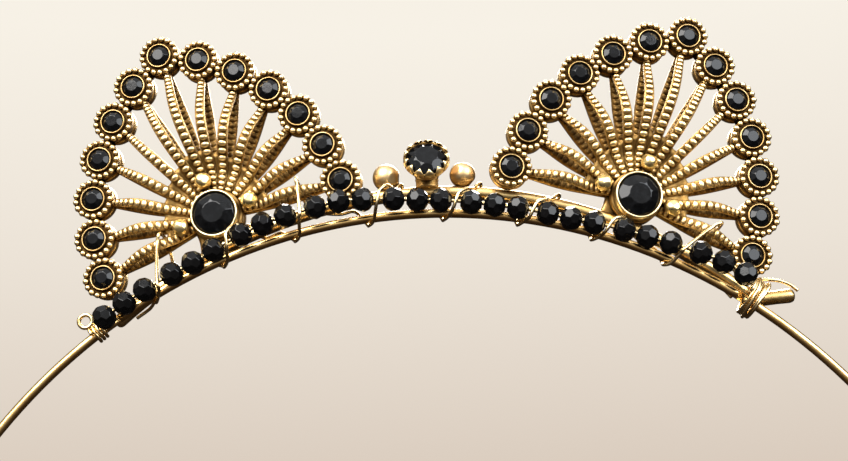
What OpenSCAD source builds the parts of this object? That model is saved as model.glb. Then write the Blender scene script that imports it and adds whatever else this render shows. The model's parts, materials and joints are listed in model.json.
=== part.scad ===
// Cat-ear headband: a sprung wire arch with two double-layer filigree fans,
// a centre cup setting, 27 threaded glass beads and the wire that binds them on.
// Millimetres. Origin at the centre of the arch, +Z up, front towards -Y.

/* [Band] */
// Radius of the arch, to the middle of the wire
band_r = 70; // [60:0.5:80]
// Diameter of the band wire
band_d = 1.2; // [1:0.1:1.4]
// Angle from the crown at which each arm starts to flex
pivot_deg = 38.6; // [38.2:0.1:42]
// Angle from the crown at which each arm runs straight
arm_end_deg = 100; // [90:1:110]
// Length of the straight leg of each arm
leg_len = 38; // [20:1:50]
// Outer radius of the flattened eye at each end
eye_r = 2.3; // [2:0.1:3]
// Radius of the hole in each eye
eye_hole_r = 1.1; // [0.8:0.1:1.3]
// Thickness of each flattened eye
eye_t = 1; // [0.8:0.1:1.1]

/* [Base bar] */
// Diameter of the bar that carries the ears
bar_d = 1.8; // [1.6:0.1:1.9]
// Depth of the bar behind the band
bar_y = 2; // [1.9:0.1:2.2]
// Radius of curvature of the bar
bar_curve_r = 61.4; // [61:0.1:61.8]
// Half angle of the bar about its own centre
bar_half_deg = 42.3; // [42:0.1:42.5]

/* [Beads] */
// Diameter of a bead
bead_d = 3; // [2.8:0.05:3]
// Length of a bead along its wire
bead_len = 2.8; // [2.6:0.05:2.9]
// Diameter of the hole in a bead
bead_hole_d = 0.62; // [0.58:0.02:0.66]
// Diameter of the wire that the beads are threaded on
bead_wire_d = 0.5; // [0.4:0.05:0.5]
// Angle between neighbouring beads of a group
bead_step = 2.47; // [2.46:0.01:2.5]
// Angle between the middles of neighbouring groups
group_step = 8.12; // [8.1:0.01:8.2]
// Angle of the middle of the whole row
row_mid = -1.1; // [-1.3:0.1:-0.9]

/* [Binding wire] */
// Diameter of the binding wire
bind_d = 0.46; // [0.4:0.02:0.5]

/* [Ears] */
// Half width of the ear outline, through the setting centres
ear_half_w = 17; // [16.5:0.1:17.5]
// Radius of the two arcs of the outline
ear_arc_r = 28.8; // [28.4:0.1:29.2]
// Depth of the hub plane of each ear
ear_y = 2; // [1.8:0.1:2.2]
// Outward turn of each ear
ear_yaw = 7; // [6:0.5:8]
// Outer diameter of a rim setting
rim_d = 5.6; // [5.4:0.05:5.65]
// Diameter of a rim stone
rim_stone_d = 2.8; // [2.6:0.1:2.9]
// Outer diameter of the hub setting
hub_d = 6.5; // [6.2:0.1:6.6]
// Diameter of the hub stone
hub_stone_d = 5.3; // [5:0.1:5.4]
// Diameter of a rib
rib_d = 1.1; // [1:0.05:1.15]
// Forward bow of a front rib, as a share of its length
front_bow = 0.22; // [0.18:0.01:0.23]
// Backward bow of a back rib, as a share of its length
back_bow = 0.06; // [0.04:0.01:0.08]

/* [Centre piece] */
// Outer diameter of the cup's rim
cup_d = 6; // [5.6:0.1:6.2]
// Upward tilt of the cup
cup_tilt = 23; // [15:1:30]
// Depth from the cup's rim to its foot
cup_h = 4; // [3.6:0.1:4.2]
// Diameter of the neck between the cup and the bar
neck_d = 3.2; // [2.8:0.1:3.3]
// Diameter of the ball on the left
ball_left_d = 3.7; // [3.4:0.1:3.8]
// Diameter of the ball on the right
ball_right_d = 3.5; // [3.2:0.1:3.6]

/* [Hidden] */
BEAD_NODES = [for (i = [1:27]) str("bead_", i < 10 ? "0" : "", i)];
$fn = 48;

antique_gold = [0.66, 0.5, 0.22];
pale_gold = [0.86, 0.68, 0.36];
wire_gold = [0.87, 0.57, 0.2];
jet = [0.05, 0.05, 0.06];

// Bar: an arc of its own, flatter at the crown than the band
bar_mid = [0.8, 12];
bar_end_r = 74.2;
bar_end_deg = 38.8;

// Seat of the flexing end of each arm
seat_gap = 0.08;

// Extra diameter of a ball that joins two lengths of bar
joint_over = 0.04;

// Bead row: radius and depth of the threading wire at the middle of each group
group_r = [70.65, 70.7, 71.8, 72.1, 71.25, 70.8, 70.55, 71.15, 72.25];
group_y = [-2.15, -2.2, -2.9, -3.1, -2.4, -2.15, -2.2, -2.15, -2.15];
groups = len(group_r);
group_deg = [for (g = [0:groups - 1]) row_mid + (g - (groups - 1) / 2) * group_step];

// Ears: [side, hub radius, hub angle, extra clockwise turn]
left_ear = [-1, 76.3, -21.4, 2];
right_ear = [1, 76.75, 21, 0];

// Ear layers, as depths from the plane between the two castings
split_y = 0.2;
front_y = -1.3;
back_y = 1.5;
web_t = 1.2;
web_r = 6.5;
web_foot_z = -2.2;
foot_x = -2.5;
rib_start = 6;
hub_h = 1.6;
rim_floor = 0.8;
ball_hub_d = 2.3;
ball_hub_r = 4.85;

// ---------- helpers ----------
function polar(r, deg, y = 0) = [r * sin(deg), y, r * cos(deg)];
function along(deg) = [cos(deg), 0, -sin(deg)];
function unit(v) = v / norm(v);

// Catmull-Rom point between b and c
function curve_point(a, b, c, d, t) =
    0.5 * (2 * b + (c - a) * t + (2 * a - 5 * b + 4 * c - d) * t * t
           + (3 * b - a - 3 * c + d) * t * t * t);

// Smooth curve through the given points
function smooth_path(p, steps) =
    concat([for (i = [0:len(p) - 2]) for (s = [0:steps - 1])
        curve_point(p[max(i - 1, 0)], p[i], p[i + 1], p[min(i + 2, len(p) - 1)], s / steps)],
        [p[len(p) - 1]]);

// Round wire along a path, its cross-sections turned as little as possible
module wire(path, d, sides = 8) {
    n = len(path);
    tangent = [for (i = [0:n - 1]) unit(path[min(i + 1, n - 1)] - path[max(i - 1, 0)])];
    carried = [for (i = 0, a = cross(tangent[0], [0.1, 0.3, 1]); i < n;
                    a = unit(a - (a * tangent[i]) * tangent[i]), i = i + 1) a];
    across = [for (i = [0:n - 1])
        unit(carried[i] - (carried[i] * tangent[i]) * tangent[i])];
    points = [for (i = [0:n - 1]) for (k = [0:sides - 1])
        path[i] + d / 2 * (cos(360 * k / sides) * across[i]
                           + sin(360 * k / sides) * cross(tangent[i], across[i]))];
    walls = [for (i = [0:n - 2]) for (k = [0:sides - 1])
        let (j = i + 1, m = (k + 1) % sides)
        [i * sides + k, i * sides + m, j * sides + m, j * sides + k]];
    ends = [[for (k = [sides - 1:-1:0]) k], [for (k = [0:sides - 1]) (n - 1) * sides + k]];
    polyhedron(points, [for (f = concat(walls, ends)) [for (q = [len(f) - 1:-1:0]) f[q]]]);
}

// Arc of round bar in the plane of the arch, about the point [x, z]
module arc_bar(mid, r, d, from_deg, to_deg, y = 0) {
    translate([mid[0], y, mid[1]])
        rotate([90, 0, 0])
            rotate([0, 0, 90 - to_deg])
                rotate_extrude(angle = to_deg - from_deg, $fn = 180)
                    translate([r, 0]) circle(d = d, $fn = 32);
}

// Cylinder from one point to another
module rod(a, b, d) {
    v = b - a;
    translate(a)
        rotate([0, acos(v[2] / norm(v)), atan2(v[1], v[0])])
            cylinder(h = norm(v), d = d, $fn = 32);
}

// Half or more of the shape that a cut glass stone fills: girdle, crown and flat table
module stone(d, h) {
    rotate_extrude()
        polygon([[0, 0], [0.42 * d, 0], [0.5 * d, 0.2 * h], [0.5 * d, 0.5 * h],
                 [0.3 * d, h], [0, h]]);
}

// ---------- band ----------
module band_top() color(wire_gold)
    difference() {
        arc_bar([0, 0], band_r, band_d, -pivot_deg, pivot_deg);
        for (s = [-1, 1])
            translate(polar(band_r, s * pivot_deg)) sphere(r = band_d / 2 + seat_gap, $fn = 32);
    }

// Right arm: ball end, arc, straight leg and a flattened eye; the left arm is its mirror image
module band_arm(side) {
    leg_top = polar(band_r, arm_end_deg);
    leg_end = leg_top + leg_len * along(arm_end_deg);
    color(wire_gold)
        mirror([side < 0 ? 1 : 0, 0, 0])
            difference() {
                union() {
                    translate(polar(band_r, pivot_deg)) sphere(d = band_d + joint_over, $fn = 32);
                    arc_bar([0, 0], band_r, band_d, pivot_deg, arm_end_deg);
                    translate(leg_top) sphere(d = band_d + joint_over, $fn = 32);
                    rod(leg_top, leg_end, band_d);
                    translate(leg_end + [0, eye_t / 2, 0])
                        rotate([90, 0, 0]) cylinder(h = eye_t, r = eye_r);
                }
                translate(leg_end + [0, 2 * eye_t, 0])
                    rotate([90, 0, 0]) cylinder(h = 4 * eye_t, r = eye_hole_r);
            }
}

module base_bar() {
    flare = polar(bar_end_r, bar_end_deg, bar_y);
    bar_end = [bar_mid[0] + bar_curve_r * sin(bar_half_deg), bar_y,
               bar_mid[1] + bar_curve_r * cos(bar_half_deg)];
    color(pale_gold) {
        arc_bar(bar_mid, bar_curve_r, bar_d, -bar_half_deg, bar_half_deg, bar_y);
        translate(bar_end) sphere(d = bar_d + joint_over, $fn = 32);
        rod(bar_end, flare, bar_d - joint_over);
        translate(flare) sphere(d = bar_d + 0.1, $fn = 32);
    }
}

// ---------- bead row ----------
function row_point(deg) =
    polar(lookup(deg, [for (g = [0:groups - 1]) [group_deg[g], group_r[g]]]), deg,
          lookup(deg, [for (g = [0:groups - 1]) [group_deg[g], group_y[g]]]));
function bead_deg(i) = group_deg[floor(i / 3)] + (i % 3 - 1) * bead_step;
function bead_axis(deg) = unit(row_point(deg + 1.2) - row_point(deg - 1.2));

module bead_wire() {
    half = bead_len / 2 + 0.02;
    path = [for (i = [0:26]) for (s = [-1, 1])
        let (deg = bead_deg(i)) row_point(deg) + s * half * bead_axis(deg)];
    color(pale_gold) wire(path, bead_wire_d, sides = 10);
}

module bead(i) {
    deg = bead_deg(i);
    axis = bead_axis(deg);
    color(jet)
        translate(row_point(deg))
            rotate([0, acos(axis[2]), atan2(axis[1], axis[0])])
                difference() {
                    intersection() {
                        sphere(d = bead_d);
                        cylinder(h = bead_len, d = bead_d + 1, center = true);
                    }
                    cylinder(h = bead_d, d = bead_hole_d, center = true, $fn = 32);
                }
}

// ---------- binding wire ----------
function bar_radius(deg) =
    let (dc = bar_mid[0] * sin(deg) + bar_mid[1] * cos(deg))
    dc + sqrt(bar_curve_r * bar_curve_r - bar_mid * bar_mid + dc * dc);
// Point at a radius, a depth and a distance along the arch from an angle
function near(deg, r, y, shift) = polar(r, deg, y) + shift * along(deg);

// Front of a turn: from under the band up across the row between two groups
function turn_front(deg) =
    let (p = row_point(deg), rb = norm([p[0], p[2]]), yb = p[1])
    [near(deg, band_r - 1, -0.2, -1.6), near(deg, band_r - 0.66, -1.15, -0.9),
     near(deg, rb - 1, yb - 0.25, -0.35), near(deg, rb, yb - 0.62, 0)];

// Way of a turn over the bar
function over_bar(deg, lean = 1) =
    let (p = row_point(deg), rb = norm([p[0], p[2]]), yb = p[1], rt = bar_radius(deg + 2.5))
    [near(deg, rb + 1.1, yb - 0.45, 0.4), near(deg, rb + 1.9, yb + 0.6, 1.5),
     near(deg, rt + 0.25, bar_y - 1.35, 2.3 * lean), near(deg, rt + 1, bar_y - 0.65, 2.9 * lean),
     near(deg, rt + 1.3, bar_y, 3.3 * lean), near(deg, rt + 0.5, bar_y + 1.27, 3.5 * lean)];

// Way of a turn over the lowest ribs of an ear as well
function over_rib(deg, rib_top, y_front, y_back) =
    [near(deg, rib_top - 1.8, y_front, 0.4), near(deg, rib_top - 0.3, y_front + 0.5, 0.5),
     near(deg, rib_top - 0.3, y_back - 0.5, 0.6), near(deg, rib_top - 1.8, y_back, 0.7),
     near(deg, bar_radius(deg) + 0.4, max(y_back - 0.9, bar_y + 1.3), 2)];

// Run of the wire behind the bar, down to the start of the next turn
function behind_bar(deg) =
    [near(deg, bar_radius(deg + 4) - 1, bar_y + 1.35, 4.8),
     near(deg, bar_radius(deg + 5.6) - 1.45, bar_y + 0.8, 6.9),
     near(deg, band_r - 0.85, 1.1, 8)];

// One wire, wound from left to right with a turn between each two groups of beads
module binding_wire() {
    gap_deg = [for (g = [0:groups - 2]) (group_deg[g] + group_deg[g + 1]) / 2];
    over = [over_rib(gap_deg[0], 77.7, 0.1, 5.6), over_bar(gap_deg[1]),
            over_rib(gap_deg[2], 77, -2.6, 3.4), over_bar(gap_deg[3]),
            over_bar(gap_deg[4]), over_bar(gap_deg[5]), over_bar(gap_deg[6], 0.7),
            over_rib(gap_deg[7], 77.6, -0.2, 5.2)];
    route = [for (g = [0:groups - 2])
        each concat(turn_front(gap_deg[g]), over[g], behind_bar(gap_deg[g]))];
    lead_in = behind_bar(gap_deg[0] - group_step);
    color(pale_gold) wire(smooth_path(concat(lead_in, route), 3), bind_d, sides = 6);
}

// Oval coil of binding wire and its free end; mid_r and mid_y place its middle from the band's
module end_coil(deg, turns, pitch, half_r, half_y, mid_r, mid_y, tail = []) {
    per_turn = 14;
    path = [for (i = [0:turns * per_turn])
        near(deg, band_r + mid_r + half_r * sin(i * 360 / per_turn),
             mid_y - half_y * cos(i * 360 / per_turn), pitch * i / per_turn)];
    wire(concat(path, tail), bind_d, sides = 6);
}

module end_binding_left() {
    color(pale_gold) {
        end_coil(-38.2, 3, 0.5, 1.1, 1, 0.15, 0);
        translate(polar(72.2, -37.9, -0.6))
            rotate([90, 0, 0])
                rotate_extrude() translate([0.85, 0]) circle(d = bind_d, $fn = 24);
    }
}

// The wire's free end lies on top of the bar's end
module end_binding_right() color(pale_gold)
    end_coil(35.1, 4.25, 0.47, 2.4, 2.55, 0.9, 1.05,
             [near(35.1, 74.7, 1.2, 2.9), near(35.1, 75.3, 1.4, 4.2), near(35.1, 75.5, 1.5, 5.6)]);

// ---------- ears ----------
arc_x = ear_arc_r - ear_half_w;
apex_deg = acos(arc_x / ear_arc_r);
arc_z = -2.07;
function rim_point(k) =
    let (a = apex_deg * (1 - abs(k) / 6))
    [sign(k) * (ear_arc_r * cos(a) - arc_x), 0, arc_z + ear_arc_r * sin(a)];

// Moves ear-local shapes (hub at the origin, apex up, front towards -Y) into place
module place_ear(ear) {
    translate(polar(ear[1], ear[2], ear_y))
        rotate([0, ear[2] + ear[3], 0])
            rotate([0, 0, ear[0] * ear_yaw])
                children();
}

// Disc, ring or cup on an ear: from depth y0 forward to depth y1
module ear_disc(at, y0, y1, r) {
    translate([at[0], y0, at[2]]) rotate([90, 0, 0]) cylinder(h = y0 - y1, r = r);
}

// Bowed rib from the web to rim setting k; bow_side -1 bows it forward
module rib(k, y, bow_side, bow) {
    p = rim_point(k);
    reach = norm(p) - rim_d / 2 + 0.2;
    span = reach - rib_start;
    half_deg = 2 * atan(2 * bow);
    curve_r = span / 2 / sin(half_deg);
    rotate([0, atan2(p[0], p[2]), 0])
        translate([0, y - bow_side * curve_r * cos(half_deg), (rib_start + reach) / 2])
            rotate([0, -90, 0])
                rotate([0, 0, 90 * bow_side - half_deg])
                    rotate_extrude(angle = 2 * half_deg, $fn = 96)
                        translate([curve_r, 0]) circle(d = rib_d, $fn = 24);
}

// Flat web round the hub, cut off below it
module web(y0, y1) {
    intersection() {
        ear_disc([0, 0, 0], y0, y1, web_r);
        translate([-web_r, y1 - 1, web_foot_z]) cube([2 * web_r, y0 - y1 + 2, 2 * web_r]);
    }
}

module front_fan(ear) color(antique_gold) place_ear(ear) {
    web(split_y, split_y - web_t);
    for (k = [-6:6]) rib(k, split_y - web_t / 2, -1, front_bow);
}

module back_fan(ear) color(antique_gold) place_ear(ear) {
    foot = ear[1] - bar_radius(ear[2]) - 0.5;
    difference() {
        union() {
            web(split_y + web_t, split_y);
            for (k = [-6:6]) rib(k, split_y + web_t / 2, 1, back_bow);
            for (k = [-6:6]) ear_disc(rim_point(k), back_y, split_y, rim_d / 2 - 0.15);
            translate([foot_x - 1.5, split_y, -foot]) cube([3, web_t, foot]);
            rim_links(split_y + 0.2, back_y - 0.2);
        }
        for (k = [-6:6]) ear_disc(rim_point(k), back_y + 1, split_y - 1, rim_stone_d / 2 - 0.3);
    }
}

// Solder bridges between neighbouring settings
module rim_links(y0, y1) {
    for (k = [-6:5]) {
        a = rim_point(k);
        b = rim_point(k + 1);
        translate((a + b) / 2)
            rotate([0, atan2(b[0] - a[0], b[2] - a[2]), 0])
                translate([-0.6, y0, -0.6]) cube([1.2, y1 - y0, 1.2]);
    }
}

module rim_settings(ear) color(antique_gold) place_ear(ear)
    difference() {
        union() {
            for (k = [-6:6]) ear_disc(rim_point(k), split_y, front_y, rim_d / 2);
            rim_links(front_y + 0.3, split_y - 0.3);
        }
        for (k = [-6:6])
            ear_disc(rim_point(k), split_y - rim_floor, front_y - 1, rim_stone_d / 2 + 0.05);
    }

module rim_stones(ear) color(jet) place_ear(ear)
    for (k = [-6:6])
        translate(rim_point(k) + [0, split_y - rim_floor, 0])
            rotate([90, 0, 0]) stone(rim_stone_d, 1.2);

module hub_setting(ear) {
    seat = split_y - web_t;
    color(pale_gold) place_ear(ear)
        difference() {
            ear_disc([0, 0, 0], seat, seat - hub_h, hub_d / 2);
            ear_disc([0, 0, 0], seat - hub_h / 3, seat - 2 * hub_h, hub_stone_d / 2 + 0.05);
        }
}

module hub_stone(ear) color(jet) place_ear(ear)
    translate([0, split_y - web_t - hub_h / 3, 0]) rotate([90, 0, 0]) stone(hub_stone_d, 1.7);

module hub_balls(ear) {
    seat = split_y - web_t;
    color(pale_gold) place_ear(ear)
        for (a = [-90, 0, 90])
            intersection() {
                translate([ball_hub_r * sin(a), seat - 0.38 * ball_hub_d, ball_hub_r * cos(a)])
                    sphere(d = ball_hub_d);
                translate([-10, seat - 10, -10]) cube([20, 10, 20]);
            }
}

// ---------- centre piece ----------
cup_rim = [0, -1.4, 77.4];
cup_foot = cup_rim + cup_h * [0, cos(cup_tilt), -sin(cup_tilt)];

module centre_cup() color(antique_gold)
    translate(cup_rim)
        rotate([90 - cup_tilt, 0, 0])
            rotate_extrude()
                polygon([[0, -cup_h], [1.6, -cup_h], [1.65, -2.9], [2.7, -1.6], [cup_d / 2, -0.3],
                         [cup_d / 2 - 0.1, 0], [cup_d / 2 - 0.4, 0], [2.48, -1.3], [0, -1.3]]);

module centre_stone() color(jet)
    translate(cup_rim)
        rotate([90 - cup_tilt, 0, 0])
            translate([0, 0, -1.3])
                rotate_extrude()
                    polygon([[0, 0], [2.2, 0], [2.5, 0.7], [2.5, 1.15], [1.5, 2], [0, 2]]);

module centre_post() color(antique_gold)
    rod([0, bar_y, bar_radius(0) + 0.5], [0, bar_y, cup_foot[2] - 0.7], neck_d);

// Solid ball soldered on top of the bar
module centre_ball(d, deg) color(antique_gold)
    translate(polar(bar_radius(deg) + bar_d / 2 + d / 2 - 0.15, deg, bar_y)) sphere(d = d);

band_top();
band_arm(-1);  // band_arm_left
band_arm(1);  // band_arm_right
base_bar();
bead_wire();
binding_wire();
end_binding_left();
end_binding_right();
front_fan(left_ear);  // front_fan_left
back_fan(left_ear);  // back_fan_left
rim_settings(left_ear);  // rim_settings_left
rim_stones(left_ear);  // rim_stones_left
hub_setting(left_ear);  // hub_setting_left
hub_stone(left_ear);  // hub_stone_left
hub_balls(left_ear);  // hub_balls_left
front_fan(right_ear);  // front_fan_right
back_fan(right_ear);  // back_fan_right
rim_settings(right_ear);  // rim_settings_right
rim_stones(right_ear);  // rim_stones_right
hub_setting(right_ear);  // hub_setting_right
hub_stone(right_ear);  // hub_stone_right
hub_balls(right_ear);  // hub_balls_right
centre_cup();
centre_stone();
centre_post();
centre_ball(ball_left_d, -4.1);  // centre_ball_left
centre_ball(ball_right_d, 3.6);  // centre_ball_right
for (i = [0:26])
    bead(i);
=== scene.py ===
import json
import math
import random

import bmesh
import bpy
from mathutils import Matrix, Vector


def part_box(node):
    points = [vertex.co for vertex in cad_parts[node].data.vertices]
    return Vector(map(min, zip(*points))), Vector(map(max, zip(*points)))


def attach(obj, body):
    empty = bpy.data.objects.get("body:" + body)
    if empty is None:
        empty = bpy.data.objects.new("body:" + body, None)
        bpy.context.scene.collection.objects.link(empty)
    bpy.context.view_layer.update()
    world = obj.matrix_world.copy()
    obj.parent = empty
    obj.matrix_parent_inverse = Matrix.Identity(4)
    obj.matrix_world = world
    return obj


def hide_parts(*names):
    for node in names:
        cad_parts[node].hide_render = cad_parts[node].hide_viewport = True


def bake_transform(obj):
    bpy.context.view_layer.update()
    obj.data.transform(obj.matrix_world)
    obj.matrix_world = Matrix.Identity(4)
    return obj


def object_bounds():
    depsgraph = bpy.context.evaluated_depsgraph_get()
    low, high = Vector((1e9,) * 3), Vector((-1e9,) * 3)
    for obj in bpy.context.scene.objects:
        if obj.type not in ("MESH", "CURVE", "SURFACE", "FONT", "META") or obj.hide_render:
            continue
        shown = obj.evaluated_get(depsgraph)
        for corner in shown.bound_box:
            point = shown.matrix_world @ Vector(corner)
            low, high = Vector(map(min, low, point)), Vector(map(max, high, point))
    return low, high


# Looks of a cat-ear headband: a wire band, two double-layer filigree ears, a claw-set centre
# stone, threaded glass beads and the wire that binds them on. Shapes are worked out in
# millimetres on the frame's own axes (+Z up, front towards -Y) and are made in metres.

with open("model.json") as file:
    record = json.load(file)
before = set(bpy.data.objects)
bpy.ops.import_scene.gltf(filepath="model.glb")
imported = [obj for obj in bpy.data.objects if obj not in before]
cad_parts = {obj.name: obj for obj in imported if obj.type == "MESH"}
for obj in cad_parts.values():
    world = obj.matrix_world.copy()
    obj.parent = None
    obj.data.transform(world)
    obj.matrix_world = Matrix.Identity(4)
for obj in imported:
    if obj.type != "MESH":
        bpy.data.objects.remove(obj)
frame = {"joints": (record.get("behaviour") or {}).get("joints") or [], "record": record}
cad_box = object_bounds()
joints = {joint["name"]: joint for joint in frame["joints"]}
mounts = {mount["name"]: mount for mount in frame["record"]["mounts"]}
MM = 0.001


# ---------- sizes and places, in millimetres and degrees ----------
def box_mm(node):
    """Lowest and highest corner of a CAD node."""
    low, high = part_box(node)
    return low / MM, high / MM


def polar(r, deg, y=0.0):
    """Point at radius r from the arch's centre, deg clockwise from the crown."""
    return Vector((r * math.sin(math.radians(deg)), y, r * math.cos(math.radians(deg))))


def along(deg):
    """Direction along the arch, clockwise, at an angle from the crown."""
    return Vector((math.cos(math.radians(deg)), 0, -math.sin(math.radians(deg))))


band_low, band_high = box_mm("band_top")
WIRE_R = (band_high.y - band_low.y) / 2
BAND_R = band_high.z - WIRE_R
ARM_START_DEG = 35.0
ARM_END_DEG = 100.0
EYE_R = 2.3
EYE_HOLE_R = mounts["end_eye_left"]["dims"]["r_mm"]
EYE_T = mounts["end_eye_left"]["dims"]["length_mm"]

bar_low, bar_high = box_mm("base_bar")
BAR_R = 0.9
BAR_Y = (bar_low.y + bar_high.y) / 2
BAR_MID = Vector((0.8, 0, 12))
BAR_CURVE_R = 61.4
BAR_HALF_DEG = 42.3
BAR_FLARE = (74.2, 38.8)

BEADS = [joints[f"bead_{i:02d}_spin"] for i in range(1, 28)]
BEAD_R = 1.5
BEAD_HALF_LEN = 1.4
BEAD_BORE_R = 0.31
BEAD_WIRE_R = 0.25
BIND_R = 0.23
LEFT_COIL_DEG = -38.2
RIGHT_COIL_DEG = 35.1

EAR_Y = 2.0
EAR_YAW = 7.0
EARS = {"left": (-1, 76.3, -21.4, 2.0), "right": (1, 76.75, 21.0, 0.0)}
RIM_STEPS = 6
OUTLINE_R = 28.8
OUTLINE_X = 11.8
OUTLINE_Z = -2.07
RIM_R = 2.8
RIB_START = 6.0
FRONT, BACK = -1, 1
RIB_BOW = {FRONT: 0.22, BACK: 0.06}
LAYER_Y = {FRONT: -0.4, BACK: 0.8}
SPLIT_Y = 0.2
HUB_R = 3.25
HUB_SEAT_Y = -1.0
HUB_H = 1.6
NUGGET_R = 1.15
NUGGET_PLACE_R = 4.85

CUP_RIM = Vector((0, -1.4, 77.4))
CUP_TILT = 23.0
CUP_H = 4.0
CLAWS = 13


# ---------- shapes ----------
class Shape:
    """Points and faces of one piece. raised says how proud each point stands, 0 in a recess; the
    antique metal finish paints low points darker, as patina and painted shade.
    """

    def __init__(self):
        self.points, self.faces, self.raised, self.smooth = [], [], [], []

    def add(self, points, faces, raised=1.0, smooth=True, at=Matrix()):
        start = len(self.points)
        self.points += [at @ Vector(p) for p in points]
        self.faces += [[start + i for i in face] for face in faces]
        self.raised += raised if isinstance(raised, list) else [raised] * len(points)
        self.smooth += [smooth] * len(faces)

    def skin(self, rings, closed=False, raised=1.0, at=Matrix()):
        """Joins rings of equal size into a tube, and closes its ends unless it meets itself.
        raised is one number, or one for each point of a ring."""
        size, count = len(rings[0]), len(rings)
        faces = [
            [a * size + k, a * size + (k + 1) % size,
             (a + 1) % count * size + (k + 1) % size, (a + 1) % count * size + k]
            for a in range(count if closed else count - 1) for k in range(size)
        ]
        if not closed:
            faces += [list(range(size))[::-1], list(range((count - 1) * size, count * size))]
        levels = raised * count if isinstance(raised, list) else raised
        self.add([p for ring in rings for p in ring], faces, levels, at=at)

    def wire(self, path, radius, side=None, closed=False, sides=14):
        """Round wire along a path. side is a direction that the path never runs along; without
        one each ring is turned as little as can be from the last. radius is one number or a
        list with one for each point."""
        count, rings = len(path), []
        carried = side is None
        if carried:
            side = (path[1] - path[0]).orthogonal()
        for i, middle in enumerate(path):
            before = path[i - 1] if closed or i else middle
            after = path[(i + 1) % count] if closed or i < count - 1 else middle
            tangent = (after - before).normalized()
            across = (side - side.dot(tangent) * tangent).normalized()
            if carried:
                side = across
            up = tangent.cross(across)
            r = radius[i] if isinstance(radius, list) else radius
            rings.append([middle + r * (math.cos(a) * across + math.sin(a) * up)
                          for a in circle_angles(sides)])
        self.skin(rings, closed)

    def lathe(self, profile, at, segments=40, levels=1.0):
        """Turns a profile of (radius, height) points about the +Z axis of at. levels is one
        number for how proud all of it stands, or one for each point of the profile."""
        rings = [[(r * math.cos(a), r * math.sin(a), h) for r, h in profile]
                 for a in circle_angles(segments)]
        size = len(profile)
        faces = [[k * size + i, k * size + i + 1, (k + 1) % segments * size + i + 1,
                  (k + 1) % segments * size + i]
                 for k in range(segments) for i in range(size - 1)]
        faces += [[k * size for k in range(segments)],
                  [k * size + size - 1 for k in range(segments)]]
        raised = levels * segments if isinstance(levels, list) else levels
        self.add([p for ring in rings for p in ring], faces, raised, at=at)

    def granule(self, middle, axes, sizes, raised=1.0):
        """Small rounded grain: axes are three directions, sizes its half size along each."""
        turn = Matrix([axis * size for axis, size in zip(axes, sizes)]).transposed().to_4x4()
        points, faces = GRAIN
        # Grains count as less proud towards their base, so the antique metal finish paints that
        # part darker, as patina and painted shade.
        levels = [raised * min(1.0, 0.5 + 0.75 * p.z) for p in points]
        self.add(points, faces, levels, at=Matrix.Translation(middle) @ turn)

    def place(self, matrix):
        self.points = [matrix @ p for p in self.points]
        return self

    def piece(self, name, material, body, nodes, slot):
        """Makes the Blender object, which rides on a body and stands for CAD nodes."""
        made = self.mesh_object(name, material, slot)
        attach(made, body)
        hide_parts(*nodes)
        return made

    def mesh_object(self, name, material, slot):
        mesh = bpy.data.meshes.new(name)
        mesh.from_pydata([p * MM for p in self.points], [], self.faces)
        mesh.polygons.foreach_set("use_smooth", self.smooth)
        raised = mesh.attributes.new("raised", "FLOAT", "POINT")
        raised.data.foreach_set("value", self.raised)
        tidy = bmesh.new()
        tidy.from_mesh(mesh)
        bmesh.ops.recalc_face_normals(tidy, faces=tidy.faces)
        tidy.to_mesh(mesh)
        tidy.free()
        mesh.materials.append(material)
        made = bpy.data.objects.new(name, mesh)
        bpy.context.scene.collection.objects.link(made)
        return made


def circle_angles(count):
    return [2 * math.pi * k / count for k in range(count)]


def sphere_data(subdivisions):
    """Points and faces of an even ball of radius 1."""
    ball = bmesh.new()
    bmesh.ops.create_icosphere(ball, subdivisions=subdivisions, radius=1)
    data = [v.co.copy() for v in ball.verts], [[v.index for v in f.verts] for f in ball.faces]
    ball.free()
    return data


def cut_data(planes, size, bevel):
    """Points and faces of what is left of a block inside planes of (direction, distance)."""
    block = bmesh.new()
    bmesh.ops.create_cube(block, size=4 * size)
    for direction, distance in planes:
        normal = Vector(direction).normalized()
        cut = bmesh.ops.bisect_plane(
            block, geom=block.verts[:] + block.edges[:] + block.faces[:],
            plane_co=normal * distance, plane_no=normal, clear_outer=True)
        edges = [e for e in cut["geom_cut"] if isinstance(e, bmesh.types.BMEdge)]
        if edges:
            bmesh.ops.edgeloop_fill(block, edges=edges)
    bmesh.ops.bevel(block, geom=block.edges[:], offset=bevel, segments=1, affect="EDGES")
    block.verts.index_update()
    data = [v.co.copy() for v in block.verts], [[v.index for v in f.verts] for f in block.faces]
    block.free()
    return data


def gem_data(radius, table_r, crown_h, depth):
    """Cut stone with its girdle at height 0 and its table up: eight main facets, eight star
    facets round the table and sixteen short facets above the girdle."""
    planes = [((0, 0, 1), crown_h), ((0, 0, -1), depth)]
    planes += [((math.cos(a), math.sin(a), 0), radius) for a in circle_angles(24)]
    for count, steeper, at_r, at_h in ((8, 1.0, radius, 0.0), (16, 1.6, 0.99 * radius, 0.0),
                                       (8, 0.62, 0.99 * table_r, crown_h)):
        slope = Vector((crown_h * steeper, 0, radius - table_r)).normalized()
        distance = slope.dot(Vector((at_r, 0, at_h)))
        for a in circle_angles(count):
            turn = Matrix.Rotation(a + (math.pi / count if steeper != 1 else 0), 3, "Z")
            planes.append((turn @ slope, distance))
    return cut_data(planes, radius, 0.015 * radius)


def nugget_data(radius, cuts, seed):
    """Ball with flats pressed into it, like a small rough cast bead."""
    choose = random.Random(seed)
    points, faces = sphere_data(4)
    flats = [Vector([choose.gauss(0, 1) for _ in range(3)]).normalized() for _ in range(cuts)]
    for normal in flats:
        depth = choose.uniform(0.86, 0.95)
        points = [p - max(0.0, p.dot(normal) - depth) * normal for p in points]
    return [p * radius for p in points], faces


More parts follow.
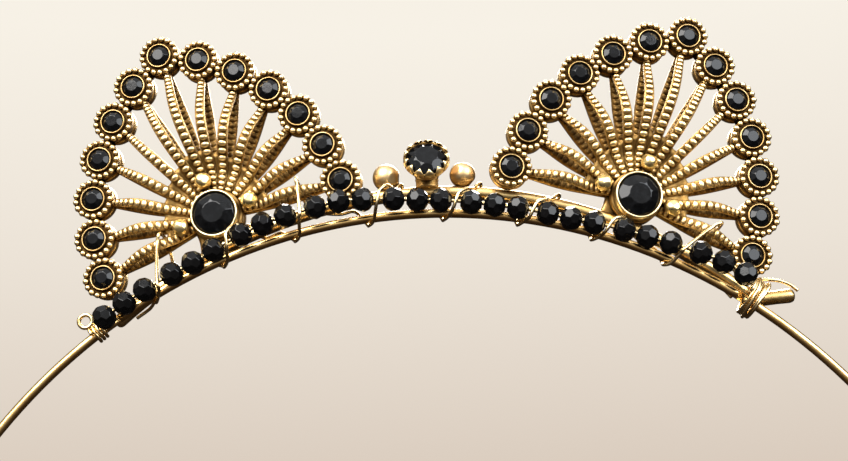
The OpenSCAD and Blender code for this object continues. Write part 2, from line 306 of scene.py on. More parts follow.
def smooth_path(points, steps, closed=False):
    """Catmull-Rom curve through the points."""
    count, path = len(points), []
    for i in range(count if closed else count - 1):
        a, b, c, d = [points[j % count] if closed else points[min(max(j, 0), count - 1)]
                      for j in (i - 1, i, i + 1, i + 2)]
        for s in range(steps):
            t = s / steps
            path.append(0.5 * (2 * b + (c - a) * t + (2 * a - 5 * b + 4 * c - d) * t * t
                               + (3 * b - a - 3 * c + d) * t ** 3))
    return path if closed else path + [points[-1]]


GRAIN = sphere_data(2)
FACING_FRONT = Matrix.Rotation(math.radians(90), 4, "X")
FACING_BACK = Matrix.Rotation(math.radians(-90), 4, "X")


# ---------- materials ----------
class Finish:
    """A material's node tree, with short ways to add and join nodes."""

    def __init__(self, name):
        self.material = bpy.data.materials.new(name)
        self.material.use_nodes = True
        self.tree = self.material.node_tree
        self.shader = self.tree.nodes["Principled BSDF"]

    def node(self, kind, **settings):
        made = self.tree.nodes.new(kind)
        for key, value in settings.items():
            setattr(made, key, value)
        return made

    def link(self, output, socket):
        self.tree.links.new(output, socket)

    def set(self, **values):
        for key, value in values.items():
            self.shader.inputs[key.replace("_", " ")].default_value = value

    def noise(self, size_mm, detail=3.0):
        """Noise whose features are about size_mm across."""
        place = self.node("ShaderNodeTexCoord")
        noise = self.node("ShaderNodeTexNoise")
        noise.inputs["Scale"].default_value = 1 / (size_mm * MM)
        noise.inputs["Detail"].default_value = detail
        self.link(place.outputs["Object"], noise.inputs["Vector"])
        return noise.outputs["Fac"]

    def math(self, operation, a, b, clamp=False):
        made = self.node("ShaderNodeMath", operation=operation, use_clamp=clamp)
        for socket, value in zip(made.inputs, (a, b)):
            if isinstance(value, (int, float)):
                socket.default_value = value
            else:
                self.link(value, socket)
        return made.outputs[0]

    def ramp(self, value, stops):
        """Colours at positions along a value."""
        made = self.node("ShaderNodeValToRGB")
        while len(made.color_ramp.elements) < len(stops):
            made.color_ramp.elements.new(0.5)
        for element, (position, colour) in zip(made.color_ramp.elements, stops):
            element.position = position
            element.color = (*colour, 1)
        self.link(value, made.inputs[0])
        return made.outputs["Color"]

    def bump(self, height, distance_mm):
        made = self.node("ShaderNodeBump")
        made.inputs["Distance"].default_value = distance_mm * MM
        made.inputs["Strength"].default_value = 1.0
        self.link(height, made.inputs["Height"])
        self.link(made.outputs["Normal"], self.shader.inputs["Normal"])


def antique_metal(name, dark, middle, light, polish):
    """Cast metal with dark patina and painted shade in its recesses, where points stand low or
    ambient occlusion finds nearby metal, and polished high spots.
    """
    finish = Finish(name)
    raised = finish.node("ShaderNodeAttribute", attribute_name="raised").outputs["Fac"]
    # Ambient occlusion darkens the colour where nearby metal closes in: painted shade in the
    # recesses.
    painted_recess_shade = finish.node("ShaderNodeAmbientOcclusion", samples=8)
    painted_recess_shade.inputs["Distance"].default_value = 1.3 * MM
    blotch = finish.math("MULTIPLY", finish.noise(1.6, 4), 0.5)
    wear_and_painted_shade = finish.math("ADD", finish.math("MULTIPLY", raised, 0.55), blotch)
    wear_and_painted_shade = finish.math("MULTIPLY", wear_and_painted_shade, painted_recess_shade.outputs["AO"], clamp=True)
    # The ramp turns this into colour: dark in recesses (patina and painted shade), light on
    # polished high spots.
    colour = finish.ramp(wear_and_painted_shade, ((0.16, dark), (0.46, middle), (0.76, light)))
    finish.link(colour, finish.shader.inputs["Base Color"])
    rough = finish.math("SUBTRACT", 0.62, finish.math("MULTIPLY", wear_and_painted_shade, 0.62 - polish))
    finish.link(rough, finish.shader.inputs["Roughness"])
    finish.set(Metallic=1.0)
    finish.bump(finish.noise(0.22, 4), 0.012)
    return finish.material


def drawn_metal(name, base, shade, polish):
    """Gilt wire: smooth, with slight changes of tone and fine drawing marks."""
    finish = Finish(name)
    tone = finish.noise(2.4, 3)
    finish.link(finish.ramp(tone, ((0.3, shade), (0.65, base))), finish.shader.inputs["Base Color"])
    rough = finish.math("ADD", finish.math("MULTIPLY", finish.noise(0.5, 4), 0.16), polish)
    finish.link(rough, finish.shader.inputs["Roughness"])
    finish.set(Metallic=1.0)
    finish.bump(finish.noise(0.3, 5), 0.006)
    return finish.material


def black_glass(name, tint, rough_low, rough_high):
    """Opaque black cut glass with faint polishing marks and dust."""
    finish = Finish(name)
    dust = finish.noise(0.8, 5)
    finish.link(finish.ramp(dust, ((0.45, tint), (0.8, tuple(2.5 * c for c in tint)))),
                finish.shader.inputs["Base Color"])
    rough = finish.math("ADD", finish.math("MULTIPLY", dust, rough_high - rough_low), rough_low)
    finish.link(rough, finish.shader.inputs["Roughness"])
    finish.set(IOR=1.45, Specular_IOR_Level=0.28)
    finish.bump(finish.noise(0.35, 3), 0.0025)
    return finish.material


casting = antique_metal("antique_casting", (0.035, 0.017, 0.005), (0.4, 0.235, 0.072),
                        (0.95, 0.72, 0.36), 0.27)
setting_metal = antique_metal("polished_setting", (0.06, 0.032, 0.01), (0.5, 0.33, 0.12),
                              (0.95, 0.79, 0.46), 0.2)
nugget_metal = antique_metal("gold_nugget", (0.16, 0.085, 0.02), (0.62, 0.42, 0.14),
                             (0.98, 0.8, 0.4), 0.18)
ball_metal = antique_metal("antique_ball", (0.07, 0.04, 0.016), (0.32, 0.19, 0.07),
                           (0.7, 0.5, 0.25), 0.36)
band_metal = drawn_metal("gilt_band_wire", (0.9, 0.62, 0.26), (0.7, 0.42, 0.14), 0.15)
bar_metal = drawn_metal("gilt_bar", (0.8, 0.58, 0.26), (0.5, 0.32, 0.11), 0.22)
bind_metal = drawn_metal("pale_binding_wire", (0.92, 0.74, 0.42), (0.74, 0.52, 0.22), 0.18)
stone_glass = black_glass("black_stone", (0.002, 0.0022, 0.0026), 0.04, 0.12)
bead_glass = black_glass("black_bead", (0.0016, 0.0016, 0.0018), 0.05, 0.14)


# ---------- band ----------
def arch_path(from_deg, to_deg, step=1.5):
    count = max(2, round(abs(to_deg - from_deg) / step))
    return [polar(BAND_R, from_deg + (to_deg - from_deg) * i / count) for i in range(count + 1)]


def make_band():
    top = Shape()
    top.wire(arch_path(-ARM_START_DEG, ARM_START_DEG), WIRE_R, Vector((0, 1, 0)), sides=20)
    top.piece("band_wire_top", band_metal, "frame", ["band_top"], "band")
    for side, name in ((-1, "left"), (1, "right")):
        arm = Shape()
        eye = Vector(mounts[f"end_eye_{name}"]["pos_m"]) / MM
        eye.y = 0
        leg_top = polar(BAND_R, side * ARM_END_DEG)
        inward = (eye - leg_top).normalized()
        leg = [leg_top.lerp(eye - EYE_R * inward, t / 12) for t in range(1, 13)]
        path = arch_path(side * ARM_START_DEG, side * ARM_END_DEG) + leg
        arm.wire(path, WIRE_R, Vector((0, 1, 0)), sides=20)
        add_eye(arm, eye, inward)
        made = arm.mesh_object(f"band_wire_{name}", band_metal, "band")
        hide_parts(f"band_arm_{name}")
        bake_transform(made)


def add_eye(shape, middle, inward):
    """Wire end hammered flat into a pierced eye, with a short shoulder up to the round wire."""
    half, edge = EYE_T / 2, 0.22
    ring = [(EYE_HOLE_R, half - edge), (EYE_HOLE_R + edge, half), (EYE_R - edge, half),
            (EYE_R, half - edge), (EYE_R, edge - half), (EYE_R - edge, -half),
            (EYE_HOLE_R + edge, -half), (EYE_HOLE_R, edge - half)]
    rings = [[middle + Vector((r * math.cos(a), y, r * math.sin(a))) for r, y in ring]
             for a in circle_angles(48)]
    shape.skin(rings, closed=True)
    across = Vector((0, 1, 0)).cross(inward)
    shoulder = []
    for i in range(7):
        t = i / 6
        wide, thick = WIRE_R + 0.75 * t ** 2, WIRE_R + (half - WIRE_R) * t
        centre = middle - inward * (EYE_R + 2.2 - 2.7 * t)
        shoulder.append([centre + wide * math.cos(a) * across
                         + thick * math.sin(a) * Vector((0, 1, 0)) for a in circle_angles(20)])
    shape.skin(shoulder)


# ---------- base bar ----------
def make_bar():
    arc = [BAR_MID + polar(BAR_CURVE_R, BAR_HALF_DEG * i / 40, BAR_Y) for i in range(-40, 41)]
    flare = polar(*BAR_FLARE, BAR_Y)
    end = (flare - arc[-1]).normalized()
    path = arc + [arc[-1].lerp(flare, t / 3) for t in range(1, 4)]
    path += [flare + end * step for step in (0.35, 0.6, 0.75, 0.8)]
    radii = [BAR_R] * (len(path) - 5) + [0.95, 0.9, 0.75, 0.5, 0.2]
    start = (arc[0] - arc[1]).normalized()
    path = [arc[0] + start * step for step in (0.7, 0.6, 0.35)] + path
    radii = [0.3, 0.6, 0.82] + radii
    bar = Shape()
    bar.wire(path, radii, Vector((0, 1, 0)), sides=24)
    bar.piece("base_bar_rod", bar_metal, "frame", ["base_bar"], "bar")


def bar_radius(deg):
    """Distance of the bar's middle from the arch's centre."""
    toward = polar(1, deg)
    inside = BAR_MID.dot(toward)
    return inside + math.sqrt(BAR_CURVE_R ** 2 - BAR_MID.dot(BAR_MID) + inside ** 2)


# ---------- beads and their wire ----------
def bead_place(joint):
    return Vector(joint["pos_m"]) / MM, Vector(joint["axis"]).normalized()


def bead_data():
    """Round bead with four rows of eight flats, cut off square at the hole."""
    planes = [((0, 0, 1), BEAD_HALF_LEN), ((0, 0, -1), BEAD_HALF_LEN)]
    for latitude, offset in ((19, 0), (-19, 0.5), (53, 0.5), (-53, 0)):
        lift, out = math.sin(math.radians(latitude)), math.cos(math.radians(latitude))
        for k in range(8):
            a = 2 * math.pi * (k + offset) / 8
            planes.append(((out * math.cos(a), out * math.sin(a), lift), BEAD_R * 0.98))
    return cut_data(planes, BEAD_R, 0.035)


def bead_mesh():
    """The cut bead with a real bore through it."""
    solid, bore = Shape(), Shape()
    solid.add(*bead_data(), smooth=False)
    bore.lathe([(BEAD_BORE_R, -2), (BEAD_BORE_R, 2)], Matrix(), segments=20)
    whole = solid.mesh_object("bead_blank", bead_glass, "bead")
    drill = bore.mesh_object("bead_drill", bead_glass, "bead")
    cut = whole.modifiers.new("bore", "BOOLEAN")
    cut.object = drill
    cut.operation = "DIFFERENCE"
    graph = bpy.context.evaluated_depsgraph_get()
    mesh = bpy.data.meshes.new_from_object(whole.evaluated_get(graph))
    mesh.name = "cut_bead"
    for spare in (whole, drill):
        bpy.data.objects.remove(spare)
    return mesh


def make_beads():
    mesh = bead_mesh()
    choose = random.Random(27)
    for i, joint in enumerate(BEADS, 1):
        middle, axis = bead_place(joint)
        spin = Matrix.Rotation(choose.uniform(0, math.tau), 4, "Z")
        turn = axis.to_track_quat("Z", "Y").to_matrix().to_4x4()
        turned = mesh.copy()
        turned.transform(turn @ spin)
        bead = bpy.data.objects.new(f"glass_bead_{i:02d}", turned)
        bpy.context.scene.collection.objects.link(bead)
        bead.location = middle * MM
        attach(bead, joint["child"])
        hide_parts(f"bead_{i:02d}")


def make_bead_wire():
    points = []
    for joint in BEADS:
        middle, axis = bead_place(joint)
        points += [middle - BEAD_HALF_LEN * axis, middle + BEAD_HALF_LEN * axis]
    thread = Shape()
    thread.wire(smooth_path(points, 5), BEAD_WIRE_R, Vector((0, 1, 0)), sides=10)
    thread.piece("bead_thread_wire", bind_metal, "frame", ["bead_wire"], "binding_wire")


# ---------- binding wire ----------
def group_middles():
    """(angle, radius, depth) of the middle bead of each group of three."""
    found = []
    for joint in BEADS[1::3]:
        middle, _ = bead_place(joint)
        found.append((math.degrees(math.atan2(middle.x, middle.z)),
                      math.hypot(middle.x, middle.z), middle.y))
    return found


GROUPS = group_middles()
GAPS = [((a[0] + b[0]) / 2, (a[1] + b[1]) / 2, (a[2] + b[2]) / 2)
        for a, b in zip(GROUPS, GROUPS[1:])]


def near(deg, r, y, shift):
    """Point at a radius, a depth and a distance along the arch from an angle."""
    return polar(r, deg, y) + shift * along(deg)


def turn_front(gap):
    """Front of a turn: from under the band up across the row between two groups."""
    deg, rb, yb = gap
    return [near(deg, BAND_R - 1, -0.2, -1.6), near(deg, BAND_R - 0.66, -1.15, -0.9),
            near(deg, rb - 1, yb - 0.25, -0.35), near(deg, rb, yb - 0.62, 0)]


def over_bar(gap, lean=1.0):
    """Way of a turn over the bar."""
    deg, rb, yb = gap
    rt = bar_radius(deg + 2.5)
    return [near(deg, rb + 1.1, yb - 0.45, 0.4), near(deg, rb + 1.9, yb + 0.6, 1.5),
            near(deg, rt + 0.25, BAR_Y - 1.35, 2.3 * lean),
            near(deg, rt + 1, BAR_Y - 0.65, 2.9 * lean), near(deg, rt + 1.3, BAR_Y, 3.3 * lean),
            near(deg, rt + 0.5, BAR_Y + 1.27, 3.5 * lean)]


def over_rib(gap, rib_top, y_front, y_back, lean=0.0):
    """Way of a turn over the lowest ribs of an ear as well."""
    deg = gap[0]
    return [near(deg, rib_top - 1.9, y_front, 0.4 + 0.6 * lean),
            near(deg, rib_top - 0.3, y_front + 0.5, 0.5 + lean),
            near(deg, rib_top - 0.3, y_back - 0.5, 0.6 + lean),
            near(deg, rib_top - 1.8, y_back, 0.7 + 0.8 * lean),
            near(deg, bar_radius(deg) + 0.4, max(y_back - 0.9, BAR_Y + 1.3), 2)]


def behind_bar(deg):
    """Run of the wire behind the bar, down to the start of the next turn."""
    return [near(deg, bar_radius(deg + 4) - 1, BAR_Y + 1.35, 4.8),
            near(deg, bar_radius(deg + 5.6) - 1.45, BAR_Y + 0.8, 6.9),
            near(deg, BAND_R - 0.85, 1.1, 8)]


def make_binding():
    """One wire, wound from left to right with a turn between each two groups of beads."""
    over = [over_rib(GAPS[0], 77.4, -0.1, 5.6, 2.6), over_bar(GAPS[1]),
            over_rib(GAPS[2], 77, -2.8, 3.4), over_bar(GAPS[3]), over_bar(GAPS[4]),
            over_bar(GAPS[5]), over_bar(GAPS[6], 0.7), over_rib(GAPS[7], 77.8, -0.5, 5.2, 2.6)]
    path = behind_bar(GAPS[0][0] - (GAPS[1][0] - GAPS[0][0]))
    for gap, way in zip(GAPS, over):
        path += turn_front(gap) + way + behind_bar(gap[0])
    binding = Shape()
    binding.wire(smooth_path(path, 8), BIND_R, sides=12)
    binding.piece("binding_winding", bind_metal, "frame", ["binding_wire"], "binding_wire")


def coil_path(deg, turns, pitch, half_r, half_y, mid_r, mid_y, start=0.0, uneven=0.0):
    """Oval coil round the band, its middle moved from the band's by mid_r and mid_y."""
    path = []
    for i in range(round(turns * 28) + 1):
        a = math.tau * i / 28
        shift = start + pitch * i / 28 + uneven * math.sin(0.4 * a + 1)
        path.append(near(deg, BAND_R + mid_r + half_r * math.sin(a), mid_y - half_y * math.cos(a),
                         shift))
    return path


def make_end_bindings():
    left = Shape()
    left.wire(coil_path(LEFT_COIL_DEG, 3, 0.5, 1.1, 1, 0.15, 0), BIND_R)
    middle = polar(72.2, -37.9, -0.6)
    loop = [middle + 0.85 * Vector((math.cos(a), 0, math.sin(a))) for a in circle_angles(36)]
    left.wire(loop, BIND_R + 0.04, Vector((0, 1, 0)), closed=True)
    left.piece("end_wrap_left", bind_metal, "frame", ["end_binding_left"], "binding_wire")
    right = Shape()
    lower = coil_path(RIGHT_COIL_DEG, 4, 0.47, 2.4, 2.55, 0.9, 1.05, uneven=0.12)
    crossing = coil_path(RIGHT_COIL_DEG, 1.25, -1.1, 2.68, 2.85, 0.9, 1.05, start=1.9, uneven=0.1)
    tail = [near(RIGHT_COIL_DEG, r, y, shift)
            for r, y, shift in ((74.7, 1, 2.4), (75.1, 0.9, 4), (75, 0.9, 5.4))]
    right.wire(lower + crossing[3:] + smooth_path([crossing[-1]] + tail, 6)[1:], BIND_R)
    right.piece("end_wrap_right", bind_metal, "frame", ["end_binding_right"], "binding_wire")


# ---------- ears ----------
APEX_DEG = math.degrees(math.acos(OUTLINE_X / OUTLINE_R))
RIBS = range(-RIM_STEPS, RIM_STEPS + 1)


def ear_matrix(ear):
    """Takes ear shapes (hub at the origin, apex up, front towards -Y) to their place."""
    side, hub_r, hub_deg, extra = ear
    return (Matrix.Translation(polar(hub_r, hub_deg, EAR_Y))
            @ Matrix.Rotation(math.radians(hub_deg + extra), 4, "Y")
            @ Matrix.Rotation(math.radians(side * EAR_YAW), 4, "Z"))


def rim_point(k):
    """Middle of rim setting k, counted from the apex along two arcs that meet there."""
    a = math.radians(APEX_DEG * (1 - abs(k) / RIM_STEPS))
    side = (k > 0) - (k < 0)
    return Vector((side * (OUTLINE_R * math.cos(a) - OUTLINE_X), 0,
                   OUTLINE_Z + OUTLINE_R * math.sin(a)))


def rib_reach(k):
    return rim_point(k).length - RIM_R + 0.2


def rib_middle(k, facing, r):
    """Middle of rib k at radius r from the hub; the ribs bow away from the ear's plane."""
    span = rib_reach(k) - RIB_START
    share = min(max((r - RIB_START) / span, 0), 1)
    bow = RIB_BOW[facing] * span * math.sin(math.pi * share) ** 1.3
    return rim_point(k).normalized() * r + Vector((0, LAYER_Y[facing] + facing * bow, 0))


def rib_axes(k, facing, r):
    """Directions across, along and out of rib k at radius r."""
    lengthwise = (rib_middle(k, facing, r + 0.1) - rib_middle(k, facing, r - 0.1)).normalized()
    across = rim_point(k).normalized().cross(Vector((0, 1, 0)))
    out = lengthwise.cross(across)
    return across, lengthwise, out * (facing if out.y > 0 else -facing)


def rib_width(k, r):
    """Half width of a rib: slim at the hub, fuller in the middle, drawn in at its rim setting."""
    share = (r - HUB_R) / (rib_reach(k) - HUB_R)
    return 0.44 + 0.2 * math.sin(math.pi * min(max(share, 0), 1) ** 0.8)


RIB_PROFILE = [(-1.0, 0.0), (-0.98, 0.16), (-0.72, 0.24), (0.72, 0.24), (0.98, 0.16), (1.0, 0.0),
               (0.86, -0.36), (0.4, -0.5), (-0.4, -0.5), (-0.86, -0.36)]
RIB_RAISED = [0.55, 0.75, 0.2, 0.2, 0.75, 0.55, 0.3, 0.3, 0.3, 0.3]


def add_rib(shape, k, facing):
    """Flat-sided rib with a row of oblong grains along its outer face."""
    reach = rib_reach(k) + 0.2
    count = round((reach - HUB_R) / 0.45)
    rings = []
    for i in range(count + 1):
        r = HUB_R + (reach - HUB_R) * i / count
        across, _, out = rib_axes(k, facing, r)
        wide = rib_width(k, r) + 0.06
        rings.append([rib_middle(k, facing, r) + a * wide * across + b * out
                      for a, b in RIB_PROFILE])
    shape.skin(rings, raised=RIB_RAISED)
    add_grains(shape, k, facing, 0.24, 1.0)


def add_grains(shape, k, facing, height, raised):
    """Row of oblong grains, closer together near the hub."""
    r = HUB_R + 0.5
    while r < rib_reach(k) + 0.1:
        share = (r - HUB_R) / (rib_reach(k) - HUB_R)
        pitch = 0.68 + 0.2 * math.sin(math.pi * share ** 0.7)
        across, lengthwise, out = rib_axes(k, facing, r)
        grain_at = rib_middle(k, facing, r) + height * out
        wide = rib_width(k, r)
        shape.granule(grain_at, (across, lengthwise, out), (wide, pitch * 0.5, 0.34), raised)
        r += pitch


def add_web(shape, k, facing):
    """Plate between ribs k and k + 1 near the hub, with a rounded notch at its outer end."""
    first, second = rim_point(k), rim_point(k + 1)
    angles = [math.atan2(p.x, p.z) for p in (first, second)]
    notch_r = 3.2 + 1.25 / (angles[1] - angles[0])
    rings = []
    for i in range(9):
        s = i / 8
        a = angles[0] + (angles[1] - angles[0]) * s
        edge = notch_r + 1.5 * abs(2 * s - 1) ** 3
        outer, inner = [], []
        for j in range(9):
            r = HUB_R - 0.2 + (edge - HUB_R + 0.2) * j / 8
            depth = ((1 - s) * rib_middle(k, facing, r).y + s * rib_middle(k + 1, facing, r).y)
            point = Vector((r * math.sin(a), depth, r * math.cos(a)))
            outer.append(point + Vector((0, facing * 0.05, 0)))
            inner.append(point - Vector((0, facing * 0.4, 0)))
        rings.append(outer + inner[::-1])
    shape.skin(rings, raised=0.35)


def make_front_fan(name, ear):
    fan = Shape()
    for k in RIBS:
        add_rib(fan, k, FRONT)
    for k in RIBS[:-1]:
        add_web(fan, k, FRONT)
    fan.lathe([(HUB_R + 0.1, -SPLIT_Y), (HUB_R + 0.25, 0), (HUB_R + 0.25, 1.05), (HUB_R, 1.15)],
              FACING_FRONT, levels=0.4)
    fan.place(ear_matrix(ear))
    fan.piece(f"rib_casting_front_{name}", casting, "frame", [f"front_fan_{name}"], "casting")


def make_back_fan(name, ear):
    fan = Shape()
    for k in RIBS:
        add_rib(fan, k, BACK)
        add_grains(fan, k, BACK, -0.42, 0.55)
        ring = Matrix.Translation(rim_point(k)) @ FACING_BACK
        add_back_ring(fan, ring)
    for k in RIBS[:-1]:
        add_web(fan, k, BACK)
        add_solder(fan, k, (SPLIT_Y + 1.5) / 2)
    fan.lathe([(HUB_R + 0.1, SPLIT_Y), (HUB_R + 0.25, 0.3), (HUB_R + 0.25, 1.2), (HUB_R, 1.4)],
              FACING_BACK, levels=0.4)
    add_foot(fan, ear)
    fan.place(ear_matrix(ear))
    fan.piece(f"rib_casting_back_{name}", casting, "frame", [f"back_fan_{name}"], "casting")


def add_back_ring(shape, at):
    """Plain pierced ring behind a rim setting."""
    ring = [(1.15, 0.25), (2.45, 0.22), (2.6, 0.4), (2.63, 1.2), (2.45, 1.42), (2.0, 1.5),
            (1.7, 1.35), (1.35, 1.35), (1.15, 1.2)]
    levels = [0.3, 0.5, 0.8, 0.9, 1.0, 0.9, 0.35, 0.4, 0.4]
    rings = [[(r * math.cos(a), r * math.sin(a), h) for r, h in ring] for a in circle_angles(32)]
    shape.skin([[Vector(p) for p in row] for row in rings], closed=True, raised=levels, at=at)


def add_solder(shape, k, depth):
    """Lump of solder between two neighbouring settings."""
    first, second = rim_point(k), rim_point(k + 1)
    step = (second - first).normalized()
    axes = (step, step.cross(Vector((0, 1, 0))), Vector((0, 1, 0)))
    middle = (first + second) / 2 + Vector((0, depth, 0))
    shape.granule(middle, axes, (0.62, 0.6, 0.55), 0.45)


def add_foot(shape, ear):
    """Strap from the hub down to the bar."""
    drop = ear[1] - bar_radius(ear[2]) - 0.5
    rings = []
    for i in range(13):
        t = i / 12
        half = 1.5 - 0.35 * math.sin(math.pi * t)
        ring = []
        for a in circle_angles(20):
            x, y = math.cos(a), math.sin(a)
            ring.append(Vector((-2.5 + half * math.copysign(abs(x) ** 0.5, x),
                                0.8 + 0.6 * math.copysign(abs(y) ** 0.6, y), -drop * t)))
        rings.append(ring)
    shape.skin(rings, raised=0.6)


GRAINS_ROUND_RIM = 17
RIM_CUP = [(2.3, -0.2), (2.54, 0.0), (2.6, 0.2), (2.6, 0.9), (2.66, 1.02), (2.56, 1.12),
           (1.95, 1.0), (1.72, 1.0), (1.69, 1.34), (1.63, 1.45), (1.55, 1.45), (1.48, 1.34),
           (1.46, 0.7)]
RIM_CUP_RAISED = [0.3, 0.35, 0.5, 0.45, 0.3, 0.2, 0.0, 0.0, 0.35, 0.6, 0.6, 0.4, 0.1]


def make_rim(name, ear):
    cups, stones = Shape(), Shape()
    choose = random.Random(name)
    gem = gem_data(1.46, 0.72, 0.55, 0.4)
    for k in RIBS:
        at = Matrix.Translation(rim_point(k)) @ FACING_FRONT
        cups.lathe(RIM_CUP, at, levels=RIM_CUP_RAISED)
        for a in circle_angles(GRAINS_ROUND_RIM):
            out = Vector((math.cos(a), 0, math.sin(a)))
            around = Vector((-math.sin(a), 0, math.cos(a)))
            size = choose.uniform(0.38, 0.44)
            middle = rim_point(k) + 2.38 * out + Vector((0, -1.12, 0))
            cups.granule(middle, (out, around, Vector((0, -1, 0))), (size, size, size))
        if k < RIM_STEPS:
            add_solder(cups, k, -0.6)
        turn = Matrix.Rotation(choose.uniform(0, math.tau), 4, "Z")
        stones.add(*gem, smooth=False, at=at @ Matrix.Translation((0, 0, 1.2)) @ turn)
    cups.place(ear_matrix(ear))
    cups.piece(f"rim_cups_{name}", casting, "frame", [f"rim_settings_{name}"], "casting")
    stones.place(ear_matrix(ear))
    stones.piece(f"rim_glass_{name}", stone_glass, "frame", [f"rim_stones_{name}"], "stone")


def make_hub(name, ear):
    seat = Matrix.Translation((0, HUB_SEAT_Y, 0)) @ FACING_FRONT
    bezel = Shape()
    bezel.lathe([(HUB_R - 0.1, -0.1), (HUB_R, 0.1), (HUB_R - 0.05, HUB_H - 0.3),
                 (HUB_R - 0.12, HUB_H - 0.06), (HUB_R - 0.22, HUB_H), (HUB_R - 0.34, HUB_H - 0.06),
                 (HUB_R - 0.4, HUB_H - 0.3), (HUB_R - 0.42, 0.5)], seat, segments=64,
                levels=[0.2, 0.4, 0.9, 1.0, 1.0, 1.0, 0.7, 0.2])
    bezel.place(ear_matrix(ear))
    bezel.piece(f"hub_bezel_{name}", setting_metal, "frame", [f"hub_setting_{name}"], "setting")
    glass = Shape()
    glass.add(*gem_data(2.82, 1.4, 0.85, 0.7), smooth=False,
              at=seat @ Matrix.Translation((0, 0, HUB_H - 0.3)) @ Matrix.Rotation(0.2, 4, "Z"))
    glass.place(ear_matrix(ear))
    glass.piece(f"hub_glass_{name}", stone_glass, "frame", [f"hub_stone_{name}"], "stone")
    nuggets = Shape()
    for i, a in enumerate((-90, 0, 90)):
        middle = polar(NUGGET_PLACE_R, a, HUB_SEAT_Y - 0.76 * NUGGET_R)
        nuggets.add(*nugget_data(NUGGET_R, 16, i + ear[1]), at=Matrix.Translation(middle))
    nuggets.place(ear_matrix(ear))
    nuggets.piece(f"hub_nuggets_{name}", nugget_metal, "frame", [f"hub_balls_{name}"], "ball")


# ---------- centre piece ----------
def make_centre():
    at = Matrix.Translation(CUP_RIM) @ Matrix.Rotation(math.radians(90 - CUP_TILT), 4, "X")
    cup = Shape()
    cup.lathe([(1.45, -CUP_H), (1.62, -CUP_H + 0.15), (1.62, -3.2), (1.7, -2.9), (2.3, -2.1),
               (2.75, -1.3), (2.93, -0.7), (2.98, -0.35), (2.86, -0.3), (2.6, -0.9), (2.5, -1.3)],
              at, segments=52, levels=[0.3, 0.5, 0.3, 0.2, 0.45, 0.6, 0.7, 0.8, 0.7, 0.2, 0.1])
    for a in circle_angles(CLAWS):
        add_claw(cup, at @ Matrix.Rotation(a, 4, "Z"))
    cup.piece("claw_cup", casting, "frame", ["centre_cup"], "cup")
    stone = Shape()
    stone.add(*gem_data(2.66, 1.45, 0.8, 0.7), smooth=False,
              at=at @ Matrix.Translation((0, 0, -0.42)))
    stone.piece("centre_glass", stone_glass, "frame", ["centre_stone"], "stone")


def add_claw(shape, at):
    """Pointed claw that stands on the cup's rim and folds in over the stone."""
    spine = [(2.95, -0.8, 0.72), (2.94, -0.3, 0.68), (2.88, -0.02, 0.5), (2.74, 0.16, 0.3),
             (2.58, 0.25, 0.13), (2.42, 0.3, 0.03)]
    rings = []
    for i, (r, h, half) in enumerate(spine):
        lower, upper = spine[max(i - 1, 0)], spine[min(i + 1, len(spine) - 1)]
        run = Vector((upper[0] - lower[0], 0, upper[1] - lower[1])).normalized()
        out = Vector((run.z, 0, -run.x))
        middle = Vector((r, 0, h))
        rings.append([middle + half * math.cos(a) * Vector((0, 1, 0))
                      + (0.12 if i < 5 else 0.04) * math.sin(a) * out for a in circle_angles(10)])
    shape.skin(rings, at=at)


def make_centre_supports():
    foot = CUP_RIM + CUP_H * Vector((0, math.cos(math.radians(CUP_TILT)),
                                     -math.sin(math.radians(CUP_TILT))))
    post = Shape()
    low, high = bar_radius(0) + 0.5, foot.z - 0.6
    post.lathe([(1.6, low), (1.56, low + 0.3), (1.5, low + 0.6), (1.5, high - 0.3), (1.6, high)],
               Matrix.Translation((0, BAR_Y, 0)), levels=0.6)
    post.piece("cup_post", casting, "frame", ["centre_post"], "cup")
    for name, cuts, seed in (("left", 5, 3), ("right", 9, 8)):
        low_corner, high_corner = box_mm(f"centre_ball_{name}")
        middle, radius = (low_corner + high_corner) / 2, (high_corner.x - low_corner.x) / 2
        ball = Shape()
        ball.add(*nugget_data(radius, cuts, seed), at=Matrix.Translation(middle))
        ball.piece(f"side_ball_{name}", ball_metal, "frame", [f"centre_ball_{name}"], "ball")


# ---------- camera, light and floor ----------
CAMERA_TARGET = Vector((-0.62, 0, 67.72))
CAMERA_DISTANCE = 169.98
CAMERA_RISE = 15.0
CAMERA_ROLL = 1.88


def make_camera():
    """The camera stands low in front and looks up a little at the ears."""
    look = Vector((0, math.cos(math.radians(CAMERA_RISE)), math.sin(math.radians(CAMERA_RISE))))
    right, up = Vector((1, 0, 0)), Vector((0, -look.z, look.y))
    roll = math.radians(CAMERA_ROLL)
    right, up = (right * math.cos(roll) - up * math.sin(roll),
                 right * math.sin(roll) + up * math.cos(roll))
    camera = bpy.data.objects.new("camera", bpy.data.cameras.new("camera"))
    camera.matrix_world = Matrix((right, up, -look)).transposed().to_4x4()
    camera.location = (CAMERA_TARGET - look * CAMERA_DISTANCE) * MM
    camera.data.lens = 55.2
    camera.data.sensor_width = 36
    camera.data.clip_start = 0.01
    bpy.context.scene.collection.objects.link(camera)
    bpy.context.scene.camera = camera


def make_light(name, place, aim, size, energy, colour):
    """Soft square light; place and aim in millimetres."""
    data = bpy.data.lights.new(name, "AREA")
    data.size, data.energy, data.color = size * MM, energy, colour
    light = bpy.data.objects.new(name, data)
    light.location = Vector(place) * MM
    light.rotation_mode = "QUATERNION"
    light.rotation_quaternion = (Vector(aim) - Vector(place)).to_track_quat("-Z", "Y")
    bpy.context.scene.collection.objects.link(light)


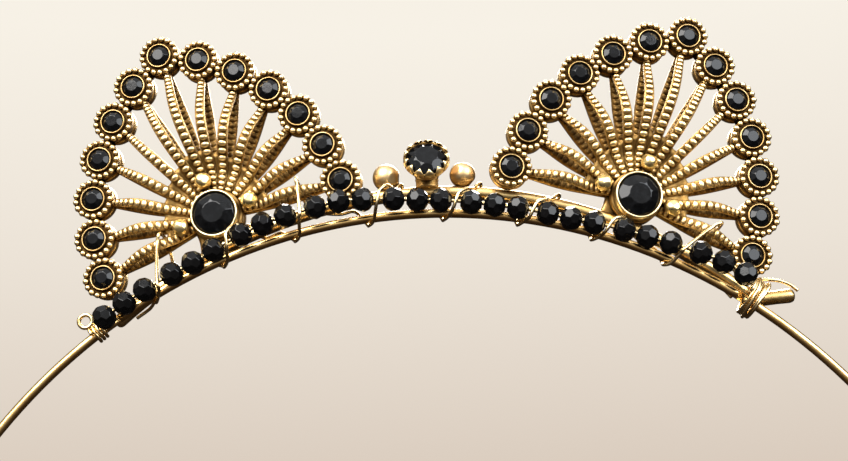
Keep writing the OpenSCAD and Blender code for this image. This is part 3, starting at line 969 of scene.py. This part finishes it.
def make_world():
    """Pale backdrop for the camera; soft light that is brightest from above and in front."""
    world = bpy.data.worlds.new("studio")
    bpy.context.scene.world = world
    world.use_nodes = True
    nodes, links = world.node_tree.nodes, world.node_tree.links
    direction = nodes.new("ShaderNodeTexCoord").outputs["Generated"]

    def graded(axis, stops):
        """Colours along a direction of the sky, from -1 to 1."""
        dot = nodes.new("ShaderNodeVectorMath")
        dot.operation = "DOT_PRODUCT"
        dot.inputs[1].default_value = axis
        links.new(direction, dot.inputs[0])
        spread = nodes.new("ShaderNodeMapRange")
        spread.inputs["From Min"].default_value = -1
        links.new(dot.outputs["Value"], spread.inputs["Value"])
        ramp = nodes.new("ShaderNodeValToRGB")
        while len(ramp.color_ramp.elements) < len(stops):
            ramp.color_ramp.elements.new(0.5)
        for element, (position, colour) in zip(ramp.color_ramp.elements, stops):
            element.position = (position + 1) / 2
            element.color = (*colour, 1)
        links.new(spread.outputs["Result"], ramp.inputs[0])
        return ramp.outputs["Color"]

    backdrop = nodes.new("ShaderNodeBackground")
    links.new(graded((0, 0, 1), ((0.05, (0.68, 0.58, 0.49)), (0.24, (0.84, 0.77, 0.68)),
                                 (0.4, (0.93, 0.88, 0.79)))), backdrop.inputs["Color"])
    room = nodes.new("ShaderNodeBackground")
    towards_window = (-0.1, -0.6, 0.79)
    links.new(graded(towards_window, ((-0.6, (0.02, 0.014, 0.01)), (0.0, (0.06, 0.045, 0.035)),
                                      (0.45, (0.24, 0.22, 0.2)), (0.8, (1, 1, 1)))),
              room.inputs["Color"])
    room.inputs["Strength"].default_value = 1.3
    seen = nodes.new("ShaderNodeLightPath")
    mix = nodes.new("ShaderNodeMixShader")
    links.new(seen.outputs["Is Camera Ray"], mix.inputs["Fac"])
    links.new(room.outputs[0], mix.inputs[1])
    links.new(backdrop.outputs[0], mix.inputs[2])
    links.new(mix.outputs[0], nodes["World Output"].inputs["Surface"])


def make_floor():
    """Plain pale floor at the level of the band's ends."""
    half = 4.0
    level = cad_box[0].z
    mesh = bpy.data.meshes.new("floor")
    mesh.from_pydata([(-half, -half, level), (half, -half, level), (half, half, level),
                      (-half, half, level)], [], [(0, 1, 2, 3)])
    floor = bpy.data.objects.new("floor", mesh)
    bpy.context.scene.collection.objects.link(floor)
    finish = Finish("pale_floor")
    tone = finish.ramp(finish.noise(40, 3),
                       ((0.3, (0.17, 0.157, 0.14)), (0.7, (0.19, 0.177, 0.16))))
    finish.link(tone, finish.shader.inputs["Base Color"])
    finish.set(Roughness=0.8)
    mesh.materials.append(finish.material)
    floor.visible_glossy = False


make_camera()
make_world()
make_floor()
make_light("key", (-260, -420, 460), (0, 0, 70), 460, 9, (1.0, 0.98, 0.95))
make_light("fill", (330, -300, 260), (0, 0, 70), 340, 3, (0.9, 0.95, 1.0))
make_light("rim", (60, 380, 380), (0, 0, 70), 300, 5, (1.0, 0.96, 0.9))
bpy.context.scene.view_settings.view_transform = "Standard"

make_band()
make_bar()
make_beads()
make_bead_wire()
make_binding()
make_end_bindings()
for ear_name, ear_place in EARS.items():
    make_front_fan(ear_name, ear_place)
    make_back_fan(ear_name, ear_place)
    make_rim(ear_name, ear_place)
    make_hub(ear_name, ear_place)
make_centre()
make_centre_supports()
